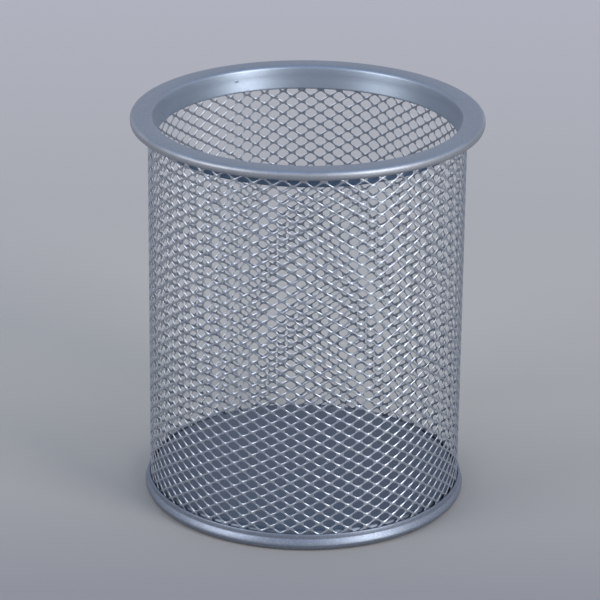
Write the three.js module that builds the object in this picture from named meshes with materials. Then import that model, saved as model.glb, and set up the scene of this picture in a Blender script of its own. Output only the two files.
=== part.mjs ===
// Round mesh pen holder: a rolled expanded metal wall between a pressed mouth rim and a pressed floor pan.
//
// Millimetres, +Z up. The origin is the middle of the foot, on the surface the cup stands on.
// Three separate pieces of sheet steel, painted after they are joined:
//   mesh_wall  the expanded metal sheet, rolled into a tube
//   top_rim    flange with a turned-down lip outside and a collar inside the mesh
//   base_pan   raised floor, wall inside the mesh, and a rolled bead that holds the foot of the mesh

import * as THREE from "three";

// Overall sizes. The rim stands out past the mesh by its overhang, 88.9 mm across in all.
const cupHeight = 101.6;
const meshDiameter = 80.4;
const rimOverhang = 4.25;

// Sheet and fits
const sheetThickness = 0.5;
const meshThickness = 0.6;
const seatClearance = 0.3;

// Mouth rim
const collarDepth = 6;
const mouthBendInside = 0.3;
const lipBendInside = 0.2;
const lipDrop = 1.2;
const lipLean = 0.4;

// Floor pan: its sheet goes down inside the mesh, rolls out under it and ends in a lip round it
const floorHeight = 4.9;
const floorBendInside = 0.3;
const beadHeight = 3.4;
const beadBulge = 0.35;
const beadLipRise = 0.9;

// Diamonds of the wall: pitch round the cup, pitch up it, and the bonds where four strands meet.
// They are larger and fewer than the real sheet's, in about its proportions.
const diamondAcross = 12.6;
const diamondUp = 7.9;
const bondLength = 3.3;
const bondHeight = 2.1;

// Counts: steps round each turned piece, steps in a small bend, steps under the bead.
// The steps under the bead are odd in number, so the middle one is the level foot.
const turnSteps = 64;
const bendSteps = 3;
const footSteps = 7;

// Radii that follow from the fits
const meshOuterRadius = meshDiameter / 2;
const meshInnerRadius = meshOuterRadius - meshThickness;
const insertRadius = meshInnerRadius - seatClearance;
const beadCentreHeight = beadHeight / 2;

// Points of an oval arc in the (radius, height) plane, both ends included
function ovalArc(centreRadius, centreHeight, halfAcross, halfUp, startDegrees, endDegrees, steps) {
  const points = [];
  for (let i = 0; i <= steps; i += 1) {
    const angle = THREE.MathUtils.degToRad(startDegrees + ((endDegrees - startDegrees) * i) / steps);
    points.push(
      new THREE.Vector2(
        centreRadius + halfAcross * Math.cos(angle),
        centreHeight + halfUp * Math.sin(angle),
      ),
    );
  }
  return points;
}

function arc(centreRadius, centreHeight, radius, startDegrees, endDegrees, steps) {
  return ovalArc(centreRadius, centreHeight, radius, radius, startDegrees, endDegrees, steps);
}

// A turned piece from its section, whose points run with the metal on their left
function turned(section) {
  const geometry = new THREE.LatheGeometry(section, turnSteps);
  geometry.rotateX(Math.PI / 2);
  return geometry;
}

// Mouth rim

function rimGeometry() {
  const rimRadius = meshOuterRadius + rimOverhang;
  const collarInside = insertRadius - sheetThickness;
  const collarEnd = cupHeight - collarDepth;
  const mouthBend = mouthBendInside + sheetThickness;
  const mouthCentreRadius = collarInside + mouthBend;
  const mouthCentreHeight = cupHeight - mouthBend;
  const lipBend = lipBendInside + sheetThickness;
  const lipCentreRadius = rimRadius - lipBend;
  const lipCentreHeight = cupHeight - lipBend;
  const lipEnd = lipCentreHeight - lipDrop;
  const section = [
    new THREE.Vector2(collarInside, collarEnd),
    new THREE.Vector2(insertRadius, collarEnd),
    ...arc(mouthCentreRadius, mouthCentreHeight, mouthBendInside, 180, 90, bendSteps),
    ...arc(lipCentreRadius, lipCentreHeight, lipBendInside, 90, 0, bendSteps),
    new THREE.Vector2(rimRadius - sheetThickness - lipLean, lipEnd),
    new THREE.Vector2(rimRadius - lipLean, lipEnd),
    ...arc(lipCentreRadius, lipCentreHeight, lipBend, 0, 90, bendSteps),
    ...arc(mouthCentreRadius, mouthCentreHeight, mouthBend, 90, 180, bendSteps),
    new THREE.Vector2(collarInside, collarEnd),
  ];
  return turned(section);
}

// Floor pan

function panGeometry() {
  const floorBend = floorBendInside + sheetThickness;
  const bendCentreRadius = insertRadius - floorBend;
  const bendCentreHeight = floorHeight - floorBend;

  // The bead reaches from the wall's inner face to its bulge past the lip round the mesh
  const lipInside = meshOuterRadius + seatClearance;
  const beadInside = insertRadius - sheetThickness;
  const beadOutside = lipInside + sheetThickness + beadBulge;
  const lipEnd = beadHeight + beadLipRise;
  const beadCentreRadius = (beadInside + beadOutside) / 2;
  const halfAcross = (beadOutside - beadInside) / 2;

  // The level step of the foot is what touches the table, so the oval is drawn out to reach it
  const footReach = 1 / Math.cos(Math.PI / (2 * footSteps));
  function bead(inset) {
    const across = halfAcross - inset;
    const up = (beadCentreHeight - inset) * footReach;
    const meetsLip = THREE.MathUtils.radToDeg(Math.acos((across - beadBulge) / across));
    return [
      ...ovalArc(beadCentreRadius, beadCentreHeight, across, up, 180, 360, footSteps),
      ...ovalArc(beadCentreRadius, beadCentreHeight, across, up, 0, meetsLip, bendSteps).slice(1),
    ];
  }

  const section = [
    new THREE.Vector2(0, floorHeight - sheetThickness),
    ...arc(bendCentreRadius, bendCentreHeight, floorBendInside, 90, 0, bendSteps),
    ...bead(0),
    new THREE.Vector2(lipInside + sheetThickness, lipEnd),
    new THREE.Vector2(lipInside, lipEnd),
    ...bead(sheetThickness).reverse(),
    ...arc(bendCentreRadius, bendCentreHeight, floorBend, 0, 90, bendSteps),
    new THREE.Vector2(0, floorHeight),
  ];
  return turned(section);
}

// Mesh wall: diamond openings in rows, each row set over by half a diamond from the next.
// The sheet is cut through the middle of its bonds at both ends, so whole diamonds line its edges.

function meshGeometry() {
  const foot = beadCentreHeight;
  const head = cupHeight - sheetThickness - seatClearance;
  const columns = 4 * Math.max(1, Math.round((Math.PI * meshDiameter) / (4 * diamondAcross)));
  const rows = Math.max(2, Math.round((2 * (head - foot)) / diamondUp) - 1);
  const rowStep = (head - foot) / (rows + 1);
  const columnAngle = (2 * Math.PI) / columns;
  const halfOpeningAngle = (columnAngle - bondLength / meshOuterRadius) / 2;
  const halfOpeningHeight = rowStep - bondHeight / 2;

  const positions = [];
  const indices = [];

  // Corners of each opening: right, bottom, left, top, outside first and inside after.
  // The first and last rows are the cut ones: only half of each of their openings bounds the sheet.
  const cornerTurns = [1, 0, -1, 0];
  const cornerRises = [0, -1, 0, 1];
  const right = 0;
  const bottom = 1;
  const left = 2;
  const top = 3;
  const cornerIndex = new Map();

  function corner(row, column, which, side) {
    const wrapped = ((column % columns) + columns) % columns;
    const key = [row, wrapped, which, side].join();
    if (!cornerIndex.has(key)) {
      const setOver = Math.abs(row % 2) / 2;
      const angle = (wrapped + setOver) * columnAngle + cornerTurns[which] * halfOpeningAngle;
      const height = foot + (row + 1) * rowStep + cornerRises[which] * halfOpeningHeight;
      const radius = side === 0 ? meshOuterRadius : meshInnerRadius;
      cornerIndex.set(key, positions.length / 3);
      positions.push(radius * Math.cos(angle), radius * Math.sin(angle), height);
    }
    return cornerIndex.get(key);
  }

  // A flat patch on both faces of the sheet, its corners in turn as seen from outside
  function patch(...corners) {
    const outside = corners.map((c) => corner(...c, 0));
    const inside = corners.map((c) => corner(...c, 1));
    for (let i = 1; i + 1 < corners.length; i += 1) {
      indices.push(outside[0], outside[i], outside[i + 1]);
      indices.push(inside[0], inside[i + 1], inside[i]);
    }
  }

  // The cut edge of the sheet between two corners, with the metal on its left as seen from outside
  function edge(from, to) {
    const a = corner(...from, 0);
    const b = corner(...to, 0);
    const c = corner(...from, 1);
    const d = corner(...to, 1);
    indices.push(b, a, c, b, c, d);
  }

  for (let row = -1; row <= rows; row += 1) {
    const setOver = Math.abs(row % 2);
    const first = row === -1;
    const last = row === rows;
    for (let column = 0; column < columns; column += 1) {
      const at = (which) => [row, column, which];
      const nextColumn = [row, column + 1, left];
      const leftNeighbour = column - 1 + setOver;
      const rightNeighbour = column + setOver;
      if (!last) {
        patch(at(right), nextColumn, [row + 1, rightNeighbour, bottom]);
        patch(at(right), [row + 1, rightNeighbour, bottom], [row + 1, rightNeighbour, left], at(top));
        patch(at(left), at(top), [row + 1, leftNeighbour, right], [row + 1, leftNeighbour, bottom]);
        edge(at(left), at(top));
        edge(at(top), at(right));
      }
      if (!first) {
        patch(nextColumn, at(right), [row - 1, rightNeighbour, top]);
        edge(at(right), at(bottom));
        edge(at(bottom), at(left));
      }
      if (first) edge(at(right), nextColumn);
      if (last) edge(nextColumn, at(right));
    }
  }

  const geometry = new THREE.BufferGeometry();
  geometry.setAttribute("position", new THREE.Float32BufferAttribute(positions, 3));
  geometry.setIndex(indices);
  geometry.computeVertexNormals();
  return geometry;
}

// The cup

function piece(name, geometry, colour, roughness, metalness) {
  const material = new THREE.MeshStandardMaterial({ color: colour, roughness, metalness });
  const mesh = new THREE.Mesh(geometry, material);
  mesh.name = name;
  return mesh;
}

const cup = new THREE.Group();
cup.name = "mesh_pen_holder";
cup.add(
  piece("mesh_wall", meshGeometry(), 0xa3a9b4, 0.38, 0.6),
  piece("top_rim", rimGeometry(), 0x8e95a1, 0.42, 0.5),
  piece("base_pan", panGeometry(), 0x858d9b, 0.42, 0.5),
);

export default cup;
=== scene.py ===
"""Round mesh pen holder: an expanded metal wall between a pressed mouth rim and a pressed floor pan.

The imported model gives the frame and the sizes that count. This script puts the full, fine expanded
sheet in the place of the coarse one, rounds the bends of the two pressed rings, paints all three and
sets up the studio. Metres throughout, +Z up, the cup's axis on Z and its foot on the floor at z = 0.
"""

import logging
import math
from dataclasses import dataclass
from enum import Enum

import bmesh
import bpy
from mathutils import Matrix, Vector

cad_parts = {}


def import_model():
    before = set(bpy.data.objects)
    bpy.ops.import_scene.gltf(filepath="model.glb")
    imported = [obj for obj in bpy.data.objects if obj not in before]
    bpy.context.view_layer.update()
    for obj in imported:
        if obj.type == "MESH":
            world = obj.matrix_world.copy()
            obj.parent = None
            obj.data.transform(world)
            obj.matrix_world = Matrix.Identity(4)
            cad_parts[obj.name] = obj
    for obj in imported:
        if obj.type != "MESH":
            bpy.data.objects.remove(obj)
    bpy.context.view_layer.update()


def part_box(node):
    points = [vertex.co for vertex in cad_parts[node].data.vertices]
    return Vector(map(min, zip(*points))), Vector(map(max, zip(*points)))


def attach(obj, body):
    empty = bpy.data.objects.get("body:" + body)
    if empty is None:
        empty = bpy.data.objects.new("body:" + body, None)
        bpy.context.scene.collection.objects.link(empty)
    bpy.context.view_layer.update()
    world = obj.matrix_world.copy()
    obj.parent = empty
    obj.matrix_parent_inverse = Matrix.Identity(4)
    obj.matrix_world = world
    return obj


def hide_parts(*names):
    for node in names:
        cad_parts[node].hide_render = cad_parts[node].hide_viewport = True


LOG = logging.getLogger("pen_holder")
MM = 0.001

Colour = tuple[float, float, float]
Outline = tuple[Vector, Vector, Vector]


# -------------------------------------------------------------------------------------------------
# Shapes
# -------------------------------------------------------------------------------------------------


def polish(bm: bmesh.types.BMesh, crease: float = math.pi) -> None:
    """Turns a closed mesh's faces outwards and shades them smooth.

    Args:
        bm: The mesh to settle.
        crease: Angle between two faces from which their edge stays sharp.
    """
    if bm.calc_volume(signed=True) < 0:
        bmesh.ops.reverse_faces(bm, faces=bm.faces[:])
    for face in bm.faces:
        face.smooth = True
    for edge in bm.edges:
        edge.smooth = edge.calc_face_angle(0.0) < crease


def everything(bm: bmesh.types.BMesh) -> list:
    """Gives all the vertices, edges and faces of a mesh."""
    return bm.verts[:] + bm.edges[:] + bm.faces[:]


def duplicate(bm: bmesh.types.BMesh, geom: list) -> list[bmesh.types.BMVert]:
    """Copies a part of a mesh in place.

    Args:
        bm: The mesh.
        geom: The vertices, edges and faces to copy.

    Returns:
        The copy's vertices.
    """
    copy = bmesh.ops.duplicate(bm, geom=geom)["geom"]
    return [item for item in copy if isinstance(item, bmesh.types.BMVert)]


def to_object(bm: bmesh.types.BMesh, name: str) -> bpy.types.Object:
    """Makes a scene object of a finished mesh and frees the mesh.

    Args:
        bm: The finished mesh, in place.
        name: Name of the new object.

    Returns:
        The new object, at the origin.
    """
    mesh = bpy.data.meshes.new(name)
    bm.to_mesh(mesh)
    bm.free()
    piece = bpy.data.objects.new(name, mesh)
    bpy.context.scene.collection.objects.link(piece)
    return piece


@dataclass
class Bend:
    """A corner of a pressed sheet's section, on the middle of its thickness.

    Attributes:
        radius: Distance from the cup's axis.
        height: Height above the table.
        bend: Radius that the middle of the sheet takes round the corner, or zero where it stays
            straight or ends.
    """

    radius: float
    height: float
    bend: float = 0.0


@dataclass
class SpunSheet:
    """A ring or disc pressed from sheet, whose section is turned round the cup's axis.

    Attributes:
        section: Corners of the section from one end to the other.
        thickness: Thickness of the sheet.
        turn_steps: Steps round the axis.
        bend_steps: Steps round each bend of the section.
        square_angle: Angle from which an edge counts as the edge of a cut end.
        round_share: Share of the thickness that rounds off each edge of a cut end.
        round_steps: Steps round such an edge.
        merge_distance: Distance within which vertices are one.
    """

    section: list[Bend]
    thickness: float
    turn_steps: int = 224
    bend_steps: int = 7
    square_angle: float = math.radians(60)
    round_share: float = 0.3
    round_steps: int = 2
    merge_distance: float = 1e-6

    def _draw_section(self, bm: bmesh.types.BMesh) -> None:
        """Draws the section as a line of vertices and rounds its corners.

        Args:
            bm: The empty mesh to draw in.
        """
        corners = [bm.verts.new((corner.radius, 0.0, corner.height)) for corner in self.section]
        for start, end in zip(corners, corners[1:]):
            bm.edges.new((start, end))
        places = [vert.co.copy() for vert in corners]
        for index in range(1, len(corners) - 1):
            if self.section[index].bend <= 0.0:
                continue
            before = (places[index - 1] - places[index]).normalized()
            after = (places[index + 1] - places[index]).normalized()
            turn = math.pi - before.angle(after)
            bmesh.ops.bevel(
                bm,
                geom=[corners[index]],
                offset=self.section[index].bend * math.tan(turn / 2),
                offset_type="OFFSET",
                segments=self.bend_steps,
                profile=0.5,
                affect="VERTICES",
                material=-1,
            )

    def _thicken(self, bm: bmesh.types.BMesh) -> None:
        """Gives the turned middle face its thickness, half to each side.

        Args:
            bm: The turned section.
        """
        bm.normal_update()
        half = self.thickness / 2
        for vert in bm.verts:
            vert.co = vert.co + vert.normal * half * vert.calc_shell_factor()
        bmesh.ops.solidify(bm, geom=bm.faces[:], thickness=self.thickness)

    def _round_ends(self, bm: bmesh.types.BMesh) -> None:
        """Rounds the edges of the cut ends, which meet the sheet's faces squarely.

        Args:
            bm: The closed sheet.
        """
        square = [
            edge
            for edge in bm.edges
            if len(edge.link_faces) == 2 and edge.calc_face_angle(0.0) > self.square_angle
        ]
        bmesh.ops.bevel(
            bm,
            geom=square,
            offset=self.thickness * self.round_share,
            offset_type="OFFSET",
            segments=self.round_steps,
            profile=0.5,
            affect="EDGES",
            material=-1,
        )

    def build(self) -> bmesh.types.BMesh:
        """Turns the section round the axis and gives it its thickness.

        Returns:
            The closed sheet as a mesh.
        """
        bm = bmesh.new()
        self._draw_section(bm)
        bmesh.ops.spin(
            bm,
            geom=bm.verts[:] + bm.edges[:],
            cent=(0.0, 0.0, 0.0),
            axis=(0.0, 0.0, 1.0),
            angle=math.tau,
            steps=self.turn_steps,
            use_merge=True,
        )
        bmesh.ops.remove_doubles(bm, verts=bm.verts[:], dist=self.merge_distance)
        bmesh.ops.recalc_face_normals(bm, faces=bm.faces[:])
        self._thicken(bm)
        self._round_ends(bm)
        polish(bm)
        return bm


@dataclass
class ExpandedSheet:
    """Expanded metal sheet rolled into the cup's wall: slanted rows of diamond openings.

    Attributes:
        middle_radius: Radius of the middle of the sheet.
        foot: Height of the sheet's lower cut edge.
        head: Height of its upper cut edge.
        columns: Openings in a row round the cup.
        pitch_up: Height from an opening to the next above it.
        turns_down: Whole pitches that a row drops in one turn.
        spare_rows: Rows past each cut edge, which the cuts take off.
        opening_across: Width of an opening.
        opening_up: Height of an opening.
        opening_level: Width of the level bit at an opening's top and bottom.
        shoulder: Corner between a slanting side and the point beside it, across and up from the
            opening's middle.
        front: How far a strand's outer face lies outside the middle radius.
        back: How far a strand's inner ridge lies inside it.
        face_share: Share of a strand's half width that is its face, before it rounds off.
        bond_share: The same along the bond at each side of an opening.
        round_off: How far a strand's edge lies behind its face.
        top_lean: How far an opening's top stands out and its bottom in.
        first_angle: Angle of the first opening from the cup's front, towards +X.
        first_height: Height of the first opening at the cup's front.
        crease: Angle between two faces from which their edge stays sharp.
        ridge_share: Share of the inner ridges' depth past which the shading is smooth.
        merge_distance: Distance within which vertices are one.
        cut_distance: Distance within which a vertex lies on a cut.
    """

    middle_radius: float
    foot: float
    head: float
    columns: int = 51
    pitch_up: float = 3.122 * MM
    turns_down: int = 2
    spare_rows: int = 2
    opening_across: float = 3.12 * MM
    opening_up: float = 2.3 * MM
    opening_level: float = 0.5 * MM
    shoulder: tuple[float, float] = (1.4 * MM, 0.44 * MM)
    front: float = 0.12 * MM
    back: float = 0.22 * MM
    face_share: float = 0.18
    bond_share: float = 0.76
    round_off: float = 0.1 * MM
    top_lean: float = 0.09 * MM
    first_angle: float = 0.038
    first_height: float = 4.03 * MM
    crease: float = math.radians(50)
    ridge_share: float = 0.8
    merge_distance: float = 2e-6
    cut_distance: float = 1e-7

    # A round of ten sides has two points past the first share of its radius and four shoulders
    # past the second, which leaves four corners above and below.
    LOOP_SIDES = 10
    POINT_FROM = 0.95
    SHOULDER_FROM = 0.5

    def _border(self) -> Outline:
        """Gives the line along the strands' middles, by its top, right shoulder and right point."""
        half_across = math.pi * self.middle_radius / self.columns
        half_up = self.pitch_up / 2
        shoulder = Vector((half_across / 2, half_up / 2, 0.0))
        return Vector((0.0, half_up, 0.0)), shoulder, Vector((half_across, 0.0, 0.0))

    def _opening(self) -> Outline:
        """Gives the opening's edge, by its top right corner, right shoulder and right point."""
        top = Vector((self.opening_level / 2, self.opening_up / 2, self.top_lean))
        return top, Vector((*self.shoulder, 0.0)), Vector((self.opening_across / 2, 0.0, 0.0))

    def _loop(
        self, bm: bmesh.types.BMesh, outline: Outline, depth: float
    ) -> list[bmesh.types.BMEdge]:
        """Makes a ten-sided loop, laid out flat, with its depth along Z.

        Args:
            bm: The mesh to add to.
            outline: The upper right corner, the right shoulder and the right point, each with its
                lean. The other three quarters mirror them.
            depth: How far the loop lies outside the middle of the sheet.

        Returns:
            The loop's edges.
        """
        made = bmesh.ops.create_circle(
            bm, cap_ends=False, segments=self.LOOP_SIDES, radius=1.0
        )["verts"]
        top, shoulder, point = outline
        for vert in made:
            aside, above = vert.co.y, vert.co.x
            if abs(aside) > self.POINT_FROM:
                corner = point
            else:
                corner = shoulder if abs(aside) > self.SHOULDER_FROM else top
            across, up = math.copysign(corner.x, aside), math.copysign(corner.y, above)
            vert.co = (across, up, depth + math.copysign(corner.z, above))
        return list({edge for vert in made for edge in vert.link_edges})

    def _tile(self, bm: bmesh.types.BMesh) -> None:
        """Makes one opening with its share of the strands, rolled to the wall's radius.

        Args:
            bm: The empty mesh to make it in.
        """
        border, opening = self._border(), self._opening()
        shares = (self.face_share, self.face_share, self.bond_share)
        face = tuple(
            middle.lerp(edge, share) for middle, edge, share in zip(border, opening, shares)
        )
        loops = [
            self._loop(bm, border, self.front),
            self._loop(bm, face, self.front),
            self._loop(bm, opening, self.front - self.round_off),
            self._loop(bm, border, -self.back),
        ]
        for outer, inner in zip(loops, loops[1:]):
            bmesh.ops.bridge_loops(bm, edges=outer + inner)
        bmesh.ops.remove_doubles(bm, verts=bm.verts[:], dist=self.merge_distance)
        drop = self.turns_down * self.pitch_up
        for vert in bm.verts:
            turn = vert.co.x / self.middle_radius
            radius = self.middle_radius + vert.co.z
            height = vert.co.y - drop * turn / math.tau
            vert.co = (radius * math.sin(turn), -radius * math.cos(turn), height)

    def _array(self, bm: bmesh.types.BMesh) -> None:
        """Repeats the tile in slanted rows round the cup and up it.

        Args:
            bm: The mesh that holds the one tile.
        """
        step = math.tau / self.columns
        drop = self.turns_down * self.pitch_up
        sunk = drop * self.first_angle / math.tau
        start = self.first_height - sunk - self.pitch_up * self.spare_rows
        around = Matrix.Rotation(self.first_angle, 4, "Z")
        place = Matrix.Translation((0, 0, start)) @ around
        bmesh.ops.transform(bm, matrix=place, verts=bm.verts[:])
        second = duplicate(bm, everything(bm))
        set_over = Matrix.Translation((0, 0, self.pitch_up / 2 - drop / self.columns / 2))
        half_step = Matrix.Rotation(step / 2, 4, "Z")
        bmesh.ops.transform(bm, matrix=set_over @ half_step, verts=second)
        bmesh.ops.spin(
            bm,
            geom=everything(bm),
            cent=(0.0, 0.0, 0.0),
            axis=(0.0, 0.0, 1.0),
            dvec=(0.0, 0.0, -drop / self.columns),
            angle=step * (self.columns - 1),
            steps=self.columns - 1,
            use_duplicate=True,
        )
        ring = everything(bm)
        rows = math.ceil((self.head - self.foot + drop) / self.pitch_up) + 2 * self.spare_rows
        for row in range(1, rows):
            raised = duplicate(bm, ring)
            bmesh.ops.translate(bm, vec=(0.0, 0.0, row * self.pitch_up), verts=raised)

    def _trim(self, bm: bmesh.types.BMesh) -> None:
        """Cuts the sheet off level at its foot and head and closes the cut strands.

        Args:
            bm: The joined sheet.
        """
        for height, outwards in ((self.foot, -1.0), (self.head, 1.0)):
            bmesh.ops.bisect_plane(
                bm,
                geom=everything(bm),
                dist=self.cut_distance,
                plane_co=(0.0, 0.0, height),
                plane_no=(0.0, 0.0, outwards),
                clear_outer=True,
            )
        cut_edges = [edge for edge in bm.edges if edge.is_boundary]
        bmesh.ops.holes_fill(bm, edges=cut_edges, sides=0)

    def _soften_ridges(self, bm: bmesh.types.BMesh) -> None:
        """Shades the strands smooth across their inner ridges.

        Args:
            bm: The finished sheet.
        """
        ridge = self.middle_radius - self.back * self.ridge_share
        for edge in bm.edges:
            if all(vert.co.xy.length < ridge for vert in edge.verts):
                edge.smooth = True

    def build(self) -> bmesh.types.BMesh:
        """Makes the whole wall.

        Returns:
            The closed sheet as a mesh.
        """
        bm = bmesh.new()
        self._tile(bm)
        self._array(bm)
        bmesh.ops.remove_doubles(bm, verts=bm.verts[:], dist=self.merge_distance)
        bmesh.ops.recalc_face_normals(bm, faces=bm.faces[:])
        self._trim(bm)
        polish(bm, self.crease)
        self._soften_ridges(bm)
        return bm


# -------------------------------------------------------------------------------------------------
# Paint
# -------------------------------------------------------------------------------------------------


class Socket(Enum):
    """Kinds of socket on a node group."""

    COLOUR = "NodeSocketColor"
    NUMBER = "NodeSocketFloat"
    DIRECTION = "NodeSocketVector"


class CollarFace(Enum):
    """Mesh attributes that are 1 on one face of the rim's collar, for its painted reflection and
    painted shade.
    """

    INSIDE = "inside"
    BEHIND = "behind"


class NodeBench:
    """Adds nodes to one node tree and joins them."""

    SPACING = 180

    def __init__(self, tree: bpy.types.NodeTree) -> None:
        """Takes the tree to work on.

        Args:
            tree: A material's, group's or world's node tree.
        """
        self.tree = tree
        self.column = 0

    @classmethod
    def bare(cls, owner: bpy.types.Material | bpy.types.World) -> "NodeBench":
        """Empties the node tree of a material or world.

        Args:
            owner: The material or world.

        Returns:
            A bench for its tree.
        """
        owner.use_nodes = True
        owner.node_tree.nodes.clear()
        return cls(owner.node_tree)

    def add(
        self, kind: str, inputs: dict | None = None, **settings: object
    ) -> bpy.types.Node:
        """Adds a node.

        Args:
            kind: The node's type name.
            inputs: Socket values or output sockets to join, by input name or number.
            **settings: Properties of the node.

        Returns:
            The new node.
        """
        node = self.tree.nodes.new(kind)
        node.location = (self.column * self.SPACING, 0)
        self.column += 1
        for name, value in settings.items():
            setattr(node, name, value)
        for name, value in (inputs or {}).items():
            if isinstance(value, bpy.types.NodeSocket):
                self.tree.links.new(value, node.inputs[name])
            else:
                node.inputs[name].default_value = value
        return node

    def place(self) -> bpy.types.NodeSocket:
        """Gives the place on the object."""
        return self.add("ShaderNodeTexCoord").outputs["Object"]

    def math(self, operation: str, *terms: object, clamp: bool = False) -> bpy.types.NodeSocket:
        """Adds a Math node.

        Args:
            operation: The node's operation.
            *terms: Numbers or output sockets.
            clamp: Whether the result is kept between 0 and 1.

        Returns:
            The result's socket.
        """
        node = self.add(
            "ShaderNodeMath", dict(enumerate(terms)), operation=operation, use_clamp=clamp
        )
        return node.outputs[0]

    def diagonal(self, across: object, along: object) -> bpy.types.NodeSocket:
        """Adds nodes for the diagonal of a rectangle.

        Args:
            across: One side's length.
            along: The other side's length.

        Returns:
            The diagonal's socket.
        """
        squares = [self.math("POWER", side, 2.0) for side in (across, along)]
        return self.math("SQRT", self.math("ADD", *squares))

    def mix(self, factor: object, first: object, second: object) -> bpy.types.NodeSocket:
        """Adds a colour Mix node.

        Args:
            factor: Share of the second colour.
            first: First colour or its socket.
            second: Second colour or its socket.

        Returns:
            The result's socket.
        """
        node = self.add("ShaderNodeMix", {0: factor, 6: first, 7: second}, data_type="RGBA")
        return node.outputs[2]

    def fade(
        self, value: object, low: object, high: object, falling: bool = False, smooth: bool = True
    ) -> bpy.types.NodeSocket:
        """Adds a Map Range node that turns a range into 0 to 1.

        Args:
            value: Number to map.
            low: The range's lower end.
            high: Its upper end.
            falling: Whether the result falls from 1 to 0 instead.
            smooth: Whether it eases in and out.

        Returns:
            The result's socket.
        """
        start, end = (1.0, 0.0) if falling else (0.0, 1.0)
        limits = {"From Min": low, "From Max": high, "To Min": start, "To Max": end}
        easing = "SMOOTHSTEP" if smooth else "LINEAR"
        node = self.add("ShaderNodeMapRange", {"Value": value, **limits}, interpolation_type=easing)
        return node.outputs[0]


class SharedGroup:
    """Node group that is built at its first use and shared by the paints.

    A subclass gives its name, its sockets and its nodes.
    """

    NAME: str
    INPUTS: tuple[tuple[str, Socket, object], ...]
    OUTPUTS: tuple[tuple[str, Socket], ...]

    @classmethod
    def group(cls) -> bpy.types.NodeTree:
        """Builds the group once and gives it back.

        Returns:
            The node group.
        """
        if cls.NAME in bpy.data.node_groups:
            return bpy.data.node_groups[cls.NAME]
        tree = bpy.data.node_groups.new(cls.NAME, "ShaderNodeTree")
        for name, kind, value in cls.INPUTS:
            socket = tree.interface.new_socket(name, in_out="INPUT", socket_type=kind.value)
            socket.default_value = value
        for name, kind in cls.OUTPUTS:
            tree.interface.new_socket(name, in_out="OUTPUT", socket_type=kind.value)
        bench = NodeBench(tree)
        cls.fill(bench, bench.add("NodeGroupInput").outputs)
        return tree

    @classmethod
    def fill(cls, bench: NodeBench, given: bpy.types.bpy_prop_collection) -> None:
        """Adds the group's nodes and joins them to its output.

        Args:
            bench: The group's bench.
            given: The group's inputs, by name.
        """
        raise NotImplementedError


class PaintGrain(SharedGroup):
    """Node group for sprayed metallic paint: metal flake, slight orange peel and cloudy tone."""

    NAME = "paint_grain"
    INPUTS = (
        ("Tone", Socket.COLOUR, (0.5, 0.5, 0.5, 1.0)),
        ("Flake Tone", Socket.COLOUR, (0.7, 0.7, 0.7, 1.0)),
        ("Flakes Per Metre", Socket.NUMBER, 6500.0),
        ("Flake Share", Socket.NUMBER, 0.2),
        ("Cloud Share", Socket.NUMBER, 0.1),
        ("Roughness", Socket.NUMBER, 0.4),
        ("Roughness Spread", Socket.NUMBER, 0.06),
        ("Peel Depth", Socket.NUMBER, 0.00001),
    )
    OUTPUTS = (
        ("Color", Socket.COLOUR),
        ("Roughness", Socket.NUMBER),
        ("Normal", Socket.DIRECTION),
    )
    CLOUDS = {"Scale": 55.0, "Detail": 3.0, "Roughness": 0.55}
    PEEL = {"Scale": 900.0, "Detail": 2.0, "Roughness": 0.5}
    NOISE_MIDDLE = 0.5
    SPARKLE_POWER = 3.0

    @classmethod
    def fill(cls, bench: NodeBench, given: bpy.types.bpy_prop_collection) -> None:
        """Adds the group's nodes and joins them to its output.

        Args:
            bench: The group's bench.
            given: The group's inputs, by name.
        """
        place = bench.place()
        flake = bench.add(
            "ShaderNodeTexVoronoi", {"Vector": place, "Scale": given["Flakes Per Metre"]}
        )
        cloud = bench.add("ShaderNodeTexNoise", {"Vector": place, **cls.CLOUDS}).outputs[0]
        peel = bench.add("ShaderNodeTexNoise", {"Vector": place, **cls.PEEL}).outputs[0]
        pick = bench.add("ShaderNodeSeparateColor", {0: flake.outputs["Color"]}).outputs[0]
        sparkle = bench.math("POWER", pick, cls.SPARKLE_POWER)
        bright = bench.math("MULTIPLY", sparkle, given["Flake Share"], clamp=True)
        above = bench.math("SUBTRACT", cloud, cls.NOISE_MIDDLE)
        clouded = bench.math("MULTIPLY", above, given["Cloud Share"])
        tone = bench.mix(bright, given["Tone"], given["Flake Tone"])
        value = bench.math("ADD", clouded, 1.0)
        shaded = bench.add("ShaderNodeHueSaturation", {"Color": tone, "Value": value}).outputs[0]
        uneven = bench.math("SUBTRACT", peel, cls.NOISE_MIDDLE)
        spread = bench.math("MULTIPLY", uneven, given["Roughness Spread"])
        rough = bench.math("ADD", given["Roughness"], bench.math("ADD", spread, clouded))
        bump = bench.add(
            "ShaderNodeBump", {"Strength": 1.0, "Distance": given["Peel Depth"], "Height": peel}
        ).outputs[0]
        bench.add("NodeGroupOutput", {"Color": shaded, "Roughness": rough, "Normal": bump})


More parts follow.
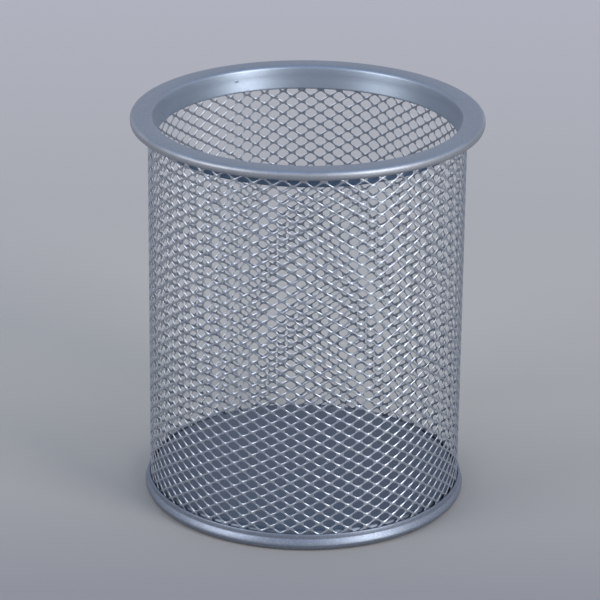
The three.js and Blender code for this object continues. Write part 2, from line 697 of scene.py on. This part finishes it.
class RingWear(SharedGroup):
    """Node group for a band round the cup where its paint is rubbed, in uneven patches."""

    NAME = "ring_wear"
    INPUTS = (
        ("Radius", Socket.NUMBER, 0.04),
        ("Height", Socket.NUMBER, 0.0),
        ("Reach", Socket.NUMBER, 0.001),
        ("Patches Per Metre", Socket.NUMBER, 60.0),
        ("Amount", Socket.NUMBER, 0.5),
    )
    OUTPUTS = (("Mask", Socket.NUMBER),)
    PATCHES = {"Detail": 4.0, "Roughness": 0.6}
    PATCH_EDGE = (0.42, 0.62)

    @classmethod
    def fill(cls, bench: NodeBench, given: bpy.types.bpy_prop_collection) -> None:
        """Adds the group's nodes and joins them to its output.

        Args:
            bench: The group's bench.
            given: The group's inputs, by name.
        """
        place = bench.place()
        apart = bench.add("ShaderNodeSeparateXYZ", {0: place}).outputs
        out = bench.math("SUBTRACT", bench.diagonal(apart[0], apart[1]), given["Radius"])
        up = bench.math("SUBTRACT", apart[2], given["Height"])
        near = bench.fade(bench.diagonal(out, up), 0.0, given["Reach"], falling=True)
        patch = bench.add(
            "ShaderNodeTexNoise",
            {"Vector": place, "Scale": given["Patches Per Metre"], **cls.PATCHES},
        ).outputs[0]
        patchy = bench.math("MULTIPLY", near, bench.fade(patch, *cls.PATCH_EDGE))
        mask = bench.math("MULTIPLY", patchy, given["Amount"], clamp=True)
        bench.add("NodeGroupOutput", {"Mask": mask})


@dataclass(frozen=True)
class Wear:
    """One rubbed band of a painted ring.

    Attributes:
        radius: Radius of the circle that it follows.
        height: Height of that circle.
        reach: How far from the circle it fades out.
        amount: How much of the paint's tone it changes.
    """

    radius: float
    height: float
    reach: float
    amount: float


@dataclass(frozen=True)
class SilverPaint:
    """Silver-grey satin paint with fine metal flake on steel sheet.

    Attributes:
        name: Name of the material.
        tone: Colour of the paint, linear.
        flake_tone: Colour of the brighter flakes, and of rubbed paint.
        metallic: How metal-like the paint is.
        roughness: Mean roughness.
        flake_share: How far the flakes change the tone.
        peel_depth: Depth of the orange peel.
        wear: Rubbed bands.
        wear_polish: How much smoother the paint is where it is rubbed.
        painted_shade_radius: Radius within which painted shade darkens the floor and the groove
            round it, or zero for none.
        painted_shade_fade: Width over which the painted shade fades out.
        painted_shade_tone: Colour of the painted shade.
        inside_painted_reflection_tone: Lighter, bluer colour on the collar's inner face, a painted
            reflection of the light from above, or none for a piece without a collar.
        inside_polish: How much smoother the paint is there.
        behind_painted_shade_tone: Darker, bluer colour on the collar's outer face, painted shade for
            where it lies under the flange, or none.
    """

    name: str
    tone: Colour
    flake_tone: Colour = (0.58, 0.60, 0.65)
    metallic: float = 0.85
    roughness: float = 0.42
    flake_share: float = 0.3
    peel_depth: float = 0.012 * MM
    wear: tuple[Wear, ...] = ()
    wear_polish: float = 0.12
    # Painted shade on a pan's floor and the groove round it.
    painted_shade_radius: float = 0.0
    painted_shade_fade: float = 1.0 * MM
    painted_shade_tone: Colour = (0.14, 0.165, 0.205)
    # Painted reflection on the collar's inner face.
    inside_painted_reflection_tone: Colour | None = None
    inside_polish: float = 0.08
    # Painted shade on the collar's outer face.
    behind_painted_shade_tone: Colour | None = None

    def material(self) -> bpy.types.Material:
        """Builds the material.

        Returns:
            The new material.
        """
        paint = bpy.data.materials.new(self.name)
        bench = NodeBench.bare(paint)
        grain = bench.add(
            "ShaderNodeGroup",
            {
                "Tone": (*self.tone, 1.0),
                "Flake Tone": (*self.flake_tone, 1.0),
                "Flake Share": self.flake_share,
                "Roughness": self.roughness,
                "Peel Depth": self.peel_depth,
            },
            node_tree=PaintGrain.group(),
        ).outputs
        colour, rough = grain["Color"], grain["Roughness"]
        # Painted shade: a darker colour within a radius round the axis.
        if self.painted_shade_radius > 0.0:
            colour = self._paint_shade(bench, colour)
        # Painted reflection: a lighter, bluer colour on the collar's inner face.
        if self.inside_painted_reflection_tone is not None:
            inside = self._marked(bench, CollarFace.INSIDE)
            colour = bench.mix(inside, colour, (*self.inside_painted_reflection_tone, 1.0))
            polish_there = bench.math("MULTIPLY", inside, self.inside_polish)
            rough = bench.math("SUBTRACT", rough, polish_there)
        # Painted shade: a darker, bluer colour on the collar's outer face.
        if self.behind_painted_shade_tone is not None:
            behind = self._marked(bench, CollarFace.BEHIND)
            colour = bench.mix(behind, colour, (*self.behind_painted_shade_tone, 1.0))
        for band in self.wear:
            colour, rough = self._rub(bench, band, colour, rough)
        surface = bench.add(
            "ShaderNodeBsdfPrincipled",
            {
                "Base Color": colour,
                "Metallic": self.metallic,
                "Roughness": rough,
                "Normal": grain["Normal"],
            },
        )
        bench.add("ShaderNodeOutputMaterial", {"Surface": surface.outputs[0]})
        return paint

    def _marked(self, bench: NodeBench, face: CollarFace) -> bpy.types.NodeSocket:
        """Gives the mask of one face of the collar."""
        return bench.add("ShaderNodeAttribute", attribute_name=face.value).outputs["Fac"]

    def _rub(
        self,
        bench: NodeBench,
        band: Wear,
        colour: bpy.types.NodeSocket,
        rough: bpy.types.NodeSocket,
    ) -> tuple[bpy.types.NodeSocket, bpy.types.NodeSocket]:
        """Rubs the paint bright and smooth along a band.

        Args:
            bench: The material's bench.
            band: The rubbed band.
            colour: The paint's colour.
            rough: The paint's roughness.

        Returns:
            The colour and the roughness with the band in them.
        """
        mask = bench.add(
            "ShaderNodeGroup",
            {
                "Radius": band.radius,
                "Height": band.height,
                "Reach": band.reach,
                "Amount": band.amount,
            },
            node_tree=RingWear.group(),
        ).outputs["Mask"]
        rubbed = bench.mix(mask, colour, (*self.flake_tone, 1.0))
        return rubbed, bench.math("SUBTRACT", rough, bench.math("MULTIPLY", mask, self.wear_polish))

    def _paint_shade(self, bench: NodeBench, colour: bpy.types.NodeSocket) -> bpy.types.NodeSocket:
        """Paints shade within its radius round the cup's axis, as a darker colour.

        Args:
            bench: The material's bench.
            colour: The paint's colour.

        Returns:
            The colour with the painted shade in it.
        """
        flat = bench.add(
            "ShaderNodeVectorMath", {0: bench.place(), 1: (1.0, 1.0, 0.0)}, operation="MULTIPLY"
        ).outputs[0]
        radius = bench.add("ShaderNodeVectorMath", {0: flat}, operation="LENGTH").outputs["Value"]
        full = self.painted_shade_radius - self.painted_shade_fade
        inside = bench.fade(radius, full, self.painted_shade_radius, falling=True)
        return bench.mix(inside, colour, (*self.painted_shade_tone, 1.0))


@dataclass(frozen=True)
class StudioFloor:
    """Plain pale grey paper that the cup stands on, with painted light falloff: darker in front,
    lighter towards the back.

    Attributes:
        painted_falloff_tones: Places along Y and the paper's colour there, linear, from front to
            back, which paint the light's falloff.
        roughness: The paper's roughness.
        gloss: The strength of its reflections.
    """

    # Painted light falloff: darker paper in front, lighter towards the back.
    painted_falloff_tones: tuple[tuple[float, Colour], ...] = (
        (-0.065, (0.30, 0.285, 0.28)),
        (0.05, (0.465, 0.43, 0.38)),
        (0.21, (0.51, 0.465, 0.42)),
        (0.44, (0.655, 0.585, 0.54)),
    )
    roughness: float = 0.9
    gloss: float = 0.1

    def material(self) -> bpy.types.Material:
        """Builds the material.

        Returns:
            The new material.
        """
        paper = bpy.data.materials.new("floor_paper")
        bench = NodeBench.bare(paper)
        apart = bench.add("ShaderNodeSeparateXYZ", {0: bench.place()}).outputs
        front, back = self.painted_falloff_tones[0][0], self.painted_falloff_tones[-1][0]
        along = bench.fade(apart[1], front, back, smooth=False)
        ramp = bench.add("ShaderNodeValToRGB", {0: along})
        stops = ramp.color_ramp.elements
        while len(stops) < len(self.painted_falloff_tones):
            stops.new(0.5)
        for stop, (place_along, tone) in zip(stops, self.painted_falloff_tones):
            stop.position = (place_along - front) / (back - front)
            stop.color = (*tone, 1.0)
        surface = bench.add(
            "ShaderNodeBsdfPrincipled",
            {
                "Base Color": ramp.outputs[0],
                "Roughness": self.roughness,
                "Specular IOR Level": self.gloss,
            },
        )
        bench.add("ShaderNodeOutputMaterial", {"Surface": surface.outputs[0]})
        return paper


# -------------------------------------------------------------------------------------------------
# The cup's pieces
# -------------------------------------------------------------------------------------------------


@dataclass
class Piece:
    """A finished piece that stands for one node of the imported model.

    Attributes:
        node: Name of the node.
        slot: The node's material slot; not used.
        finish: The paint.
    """

    node: str
    slot: str
    finish: SilverPaint

    def corners(self) -> tuple[Vector, Vector]:
        """Gives the lowest and highest corner of the node."""
        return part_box(self.node)

    def shape(self) -> bmesh.types.BMesh:
        """Makes the piece's mesh in place."""
        raise NotImplementedError

    def build(self) -> bpy.types.Object:
        """Makes the piece, paints it and ties it to the frame.

        Returns:
            The finished object.
        """
        piece = to_object(self.shape(), f"{self.node}_finished")
        piece.data.materials.append(self.finish.material())
        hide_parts(self.node)
        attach(piece, "root")
        LOG.info("%s: %d faces", piece.name, len(piece.data.polygons))
        return piece


@dataclass
class MeshWall(Piece):
    """The expanded metal wall.

    Attributes:
        node: Name of the node.
        slot: The node's material slot; not used.
        finish: The paint.
        sheet_half: Half the thickness of the node's sheet, from its outer face to its middle.
    """

    node: str = "mesh_wall"
    slot: str = "mesh_paint"
    finish: SilverPaint = SilverPaint("mesh_paint_finish", (0.35, 0.38, 0.435), roughness=0.38)
    sheet_half: float = 0.3 * MM

    def shape(self) -> bmesh.types.BMesh:
        """Makes the rolled sheet between the node's own foot and head."""
        low, high = self.corners()
        return ExpandedSheet(high.x - self.sheet_half, foot=low.z, head=high.z).build()


@dataclass
class TopRim(Piece):
    """The pressed ring round the mouth. Its radii are those of the middle of the sheet.

    Attributes:
        node: Name of the node.
        slot: The node's material slot; not used.
        finish: The paint.
        thickness: Thickness of the sheet.
        collar_radius: Radius of the collar at the flange.
        collar_lean: How far the collar leans in at its lower edge.
        collar_half_lean: How far it leans in at half its height.
        collar_curve: Radius of its bow there.
        collar_hem: Height of the straight part along its lower edge.
        mouth_bend: Radius of the bend from the collar to the flange.
        lip_bend: Radius of the two bends at the ring's outer edge.
        lip_turn: Depth below the top at which the lip turns in.
        lip_lean: How far the lip leans in at its end.
        lip_depth: Depth of the lip's end below the top.
        weld_angle: Place of the weld mark round the cup, from its front towards +X.
        weld_height: Height of the mark.
        weld_radius: Radius of the round body that the mark is the cap of.
        weld_flatness: Depth of that body over its width.
        weld_sunk: How far its middle lies behind the collar's inner face.
        weld_steps: Steps round that body and from pole to pole.
        facing_from: Share of a face's direction that points to the axis, from which it is marked.
        facing_blend: Further share over which the inner face's mark becomes whole.
    """

    node: str = "top_rim"
    slot: str = "rim_paint"
    finish: SilverPaint = SilverPaint(
        "rim_paint_finish",
        (0.3, 0.318, 0.35),
        roughness=0.5,
        wear=(
            Wear(44.2 * MM, 101.3 * MM, 0.7 * MM, 0.35),
            Wear(39.0 * MM, 101.4 * MM, 0.6 * MM, 0.12),
        ),
        # Lighter, bluer inner face of the collar: painted reflection of the light from above.
        inside_painted_reflection_tone=(0.28, 0.325, 0.39),
        # Darker, bluer outer face of the collar: painted shade under the flange.
        behind_painted_shade_tone=(0.17, 0.25, 0.37),
    )
    thickness: float = 0.5 * MM
    collar_radius: float = 39.05 * MM
    collar_lean: float = 1.1 * MM
    collar_half_lean: float = 0.45 * MM
    collar_curve: float = 20.0 * MM
    collar_hem: float = 0.5 * MM
    mouth_bend: float = 0.8 * MM
    lip_bend: float = 0.85 * MM
    lip_turn: float = 1.6 * MM
    lip_lean: float = 0.2 * MM
    lip_depth: float = 2.15 * MM
    weld_angle: float = math.radians(-151.1)
    weld_height: float = 98.45 * MM
    weld_radius: float = 0.7 * MM
    weld_flatness: float = 0.17
    weld_sunk: float = 0.09 * MM
    weld_steps: tuple[int, int] = (16, 10)
    facing_from: float = 0.5
    facing_blend: float = 0.4

    def shape(self) -> bmesh.types.BMesh:
        """Turns the ring's section and adds the weld mark inside its collar."""
        low, high = self.corners()
        half = self.thickness / 2
        top = high.z - half
        outside = high.x - half
        half_height = (top - low.z) / 2
        slope = (self.collar_lean - self.collar_half_lean) / half_height
        end = self.collar_radius - self.collar_lean
        section = [
            Bend(end, low.z),
            Bend(end + slope * self.collar_hem, low.z + self.collar_hem),
            Bend(
                self.collar_radius - self.collar_half_lean, low.z + half_height, self.collar_curve
            ),
            Bend(self.collar_radius, top, self.mouth_bend),
            Bend(outside, top, self.lip_bend),
            Bend(outside, high.z - self.lip_turn, self.lip_bend),
            Bend(outside - self.lip_lean, high.z - self.lip_depth),
        ]
        bm = SpunSheet(section, self.thickness).build()
        self._add_weld(bm)
        self._mark_collar(bm)
        return bm

    def _add_weld(self, bm: bmesh.types.BMesh) -> None:
        """Adds the small raised mark that a spot weld leaves on the collar's inner face.

        Args:
            bm: The finished ring.
        """
        around, upright = self.weld_steps
        made = bmesh.ops.create_uvsphere(
            bm, u_segments=around, v_segments=upright, radius=self.weld_radius
        )["verts"]
        bmesh.ops.scale(bm, vec=(1.0, self.weld_flatness, 1.0), verts=made)
        low, high = self.corners()
        share = 2 * (high.z - self.weld_height) / (high.z - low.z)
        collar = self.collar_radius - self.collar_half_lean * share
        inside = collar - self.thickness / 2 + self.weld_sunk
        out = Matrix.Translation((0.0, -inside, self.weld_height))
        place = Matrix.Rotation(self.weld_angle, 4, "Z") @ out
        bmesh.ops.transform(bm, matrix=place, verts=made)
        for face in {face for vert in made for face in vert.link_faces}:
            face.smooth = True

    def _mark_collar(self, bm: bmesh.types.BMesh) -> None:
        """Writes the attributes of the collar's inner and outer face, which carry its painted
        reflection and painted shade.

        Args:
            bm: The finished ring.
        """
        inside = bm.verts.layers.float.new(CollarFace.INSIDE.value)
        behind = bm.verts.layers.float.new(CollarFace.BEHIND.value)
        bm.normal_update()
        for vert in bm.verts:
            radius = vert.co.xy.length
            facing = -(vert.normal.x * vert.co.x + vert.normal.y * vert.co.y) / radius
            if radius < self.collar_radius:
                share = (facing - self.facing_from) / self.facing_blend
                vert[inside] = min(max(share, 0.0), 1.0)
            if radius < self.collar_radius + self.thickness and facing < -self.facing_from:
                vert[behind] = 1.0


@dataclass
class BasePan(Piece):
    """The pressed floor with the bead that holds the foot of the wall.

    Its radii and heights are those of the middle of the sheet.

    Attributes:
        node: Name of the node.
        slot: The node's material slot; not used.
        finish: The paint.
        thickness: Thickness of the sheet.
        wall_radius: Radius of the wall that goes down inside the mesh.
        floor_bend: Radius of the bend from the floor to that wall.
        inner_foot_bend: Radius of the bend from that wall to the foot.
        outer_foot_bend: Radius of the bend from the foot to the bulge.
        bulge_top: Height at which the bulge turns in.
        bulge_bend: Radius of that turn.
        shoulder_radius: Radius of the next corner of the bead, above the bulge.
        shoulder_height: Height of that corner.
        shoulder_bend: Radius of its bend.
        lip_foot_radius: Radius of the corner where the lip begins.
        lip_foot_height: Height of that corner.
        lip_foot_bend: Radius of its bend.
        lip_radius: Radius of the lip's end, close round the mesh.
        lip_height: Height of the lip's end.
    """

    node: str = "base_pan"
    slot: str = "pan_paint"
    finish: SilverPaint = SilverPaint(
        "pan_paint_finish",
        # Darker than the rim's tone though it is the same paint: painted shade for the pan low by
        # the table.
        (0.202, 0.234, 0.294),
        roughness=0.46,
        wear=(Wear(40.4 * MM, 0.2 * MM, 1.0 * MM, 0.4),),
        # Painted shade: the floor and the groove between it and the wall are darker.
        painted_shade_radius=40.0 * MM,
    )
    thickness: float = 0.5 * MM
    wall_radius: float = 39.05 * MM
    floor_bend: float = 1.0 * MM
    inner_foot_bend: float = 0.7 * MM
    outer_foot_bend: float = 1.3 * MM
    bulge_top: float = 1.8 * MM
    bulge_bend: float = 2.0 * MM
    shoulder_radius: float = 40.76 * MM
    shoulder_height: float = 2.5 * MM
    shoulder_bend: float = 1.6 * MM
    lip_foot_radius: float = 40.42 * MM
    lip_foot_height: float = 3.05 * MM
    lip_foot_bend: float = 1.0 * MM
    lip_radius: float = 40.38 * MM
    lip_height: float = 4.35 * MM

    def shape(self) -> bmesh.types.BMesh:
        """Turns the pan's section from the middle of its floor to its lip."""
        low, high = self.corners()
        half = self.thickness / 2
        top = high.z - half
        foot = low.z + half
        outside = high.x - half
        section = [
            Bend(0.0, top),
            Bend(self.wall_radius, top, self.floor_bend),
            Bend(self.wall_radius, foot, self.inner_foot_bend),
            Bend(outside, foot, self.outer_foot_bend),
            Bend(outside, self.bulge_top, self.bulge_bend),
            Bend(self.shoulder_radius, self.shoulder_height, self.shoulder_bend),
            Bend(self.lip_foot_radius, self.lip_foot_height, self.lip_foot_bend),
            Bend(self.lip_radius, self.lip_height),
        ]
        return SpunSheet(section, self.thickness).build()


# -------------------------------------------------------------------------------------------------
# Studio
# -------------------------------------------------------------------------------------------------


@dataclass(frozen=True)
class SoftBox:
    """A studio lamp with a rectangular face that looks at the foot of the cup.

    Attributes:
        name: Name of the lamp.
        azimuth: Direction from the cup, in degrees from the front towards the right.
        elevation: Its angle above the table, in degrees.
        distance: Its distance from the cup's foot.
        width: Width of its face.
        height: Height of its face.
        power: Its power in watts.
    """

    name: str
    azimuth: float
    elevation: float
    distance: float
    width: float
    height: float
    power: float

    def hang(self) -> None:
        """Makes the lamp."""
        lamp = bpy.data.lights.new(self.name, "AREA")
        lamp.shape = "RECTANGLE"
        lamp.size = self.width
        lamp.size_y = self.height
        lamp.energy = self.power
        holder = bpy.data.objects.new(self.name, lamp)
        turn = Matrix.Rotation(math.radians(self.azimuth), 4, "Z")
        tilt = Matrix.Rotation(math.radians(90.0 - self.elevation), 4, "X")
        holder.matrix_world = turn @ tilt @ Matrix.Translation((0.0, 0.0, self.distance))
        bpy.context.scene.collection.objects.link(holder)
        LOG.info("lamp %s: %.1f W", self.name, self.power)


@dataclass
class Studio:
    """Floor, world and lamps.

    Attributes:
        lamps: The soft boxes.
        floor: The floor's finish.
        floor_side: Side of the square floor.
        low_tone: Light from all round, low down.
        high_tone: Light from above.
        low_until: Upward share of a direction up to which the light has the low tone.
        high_from: Upward share from which it has the high tone.
    """

    lamps: tuple[SoftBox, ...] = (
        SoftBox("key_right", 48.0, 24.0, 1.1, 0.38, 0.90, 8.9),
        SoftBox("fill_left", -59.0, 28.0, 1.1, 0.5, 0.6, 5.1),
    )
    floor: StudioFloor = StudioFloor()
    floor_side: float = 12.0
    low_tone: Colour = (0.62, 0.64, 0.69)
    high_tone: Colour = (0.34, 0.48, 0.74)
    low_until: float = 0.3
    high_from: float = 0.8

    def lay_floor(self) -> None:
        """Lays the plain floor under the cup."""
        bm = bmesh.new()
        bmesh.ops.create_grid(bm, x_segments=2, y_segments=2, size=self.floor_side / 2)
        sheet = to_object(bm, "studio_floor")
        sheet.data.materials.append(self.floor.material())

    def light_world(self) -> None:
        """Sets the soft light from all round, which changes its tone with its height."""
        world = bpy.data.worlds.new("studio_world")
        bpy.context.scene.world = world
        bench = NodeBench.bare(world)
        towards = bench.add("ShaderNodeTexCoord").outputs["Generated"]
        upward = bench.add("ShaderNodeSeparateXYZ", {0: towards}).outputs[2]
        share = bench.fade(upward, self.low_until, self.high_from)
        tone = bench.mix(share, (*self.low_tone, 1.0), (*self.high_tone, 1.0))
        light = bench.add("ShaderNodeBackground", {"Color": tone, "Strength": 1.0})
        bench.add("ShaderNodeOutputWorld", {"Surface": light.outputs[0]})

    def build(self) -> None:
        """Makes the floor, the world's light and the lamps."""
        self.lay_floor()
        self.light_world()
        for lamp in self.lamps:
            lamp.hang()


@dataclass(frozen=True)
class PhotoCamera:
    """The camera that took the photograph, for a square frame.

    Attributes:
        aim: The point that it looks at.
        distance: Its distance from that point.
        elevation: Its angle above the floor, in degrees.
        roll: How far it is turned about its own axis, in degrees.
        lens: Focal length in millimetres.
        sensor: Width of the sensor in millimetres.
        reach: Nearest and farthest distance that it sees.
    """

    aim: tuple[float, float, float] = (-1.469 * MM, 0.0, 51.198 * MM)
    distance: float = 810.927 * MM
    elevation: float = 21.8947
    roll: float = 0.5803
    lens: float = 190.19
    sensor: float = 36.0
    reach: tuple[float, float] = (0.01, 50.0)

    def place(self) -> None:
        """Makes the camera and sets it as the scene's."""
        tilt = math.radians(self.elevation)
        forward = Vector((0.0, math.cos(tilt), -math.sin(tilt)))
        upright = Matrix.Rotation(math.pi / 2 - tilt, 4, "X")
        turned = upright @ Matrix.Rotation(math.radians(self.roll), 4, "Z")
        data = bpy.data.cameras.new("photo_camera")
        data.lens = self.lens
        data.sensor_width = self.sensor
        data.clip_start, data.clip_end = self.reach
        camera = bpy.data.objects.new("photo_camera", data)
        stand = Vector(self.aim) - forward * self.distance
        camera.matrix_world = Matrix.Translation(stand) @ turned
        bpy.context.scene.collection.objects.link(camera)
        bpy.context.scene.camera = camera


def main() -> None:
    """Loads the frame, builds the cup on it and sets up the studio."""
    logging.basicConfig(level=logging.INFO, format="%(name)s: %(message)s")
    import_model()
    bpy.context.scene.view_settings.view_transform = "Standard"
    PhotoCamera().place()
    for piece in (MeshWall(), TopRim(), BasePan()):
        piece.build()
    Studio().build()


if __name__ == "__main__":
    main()
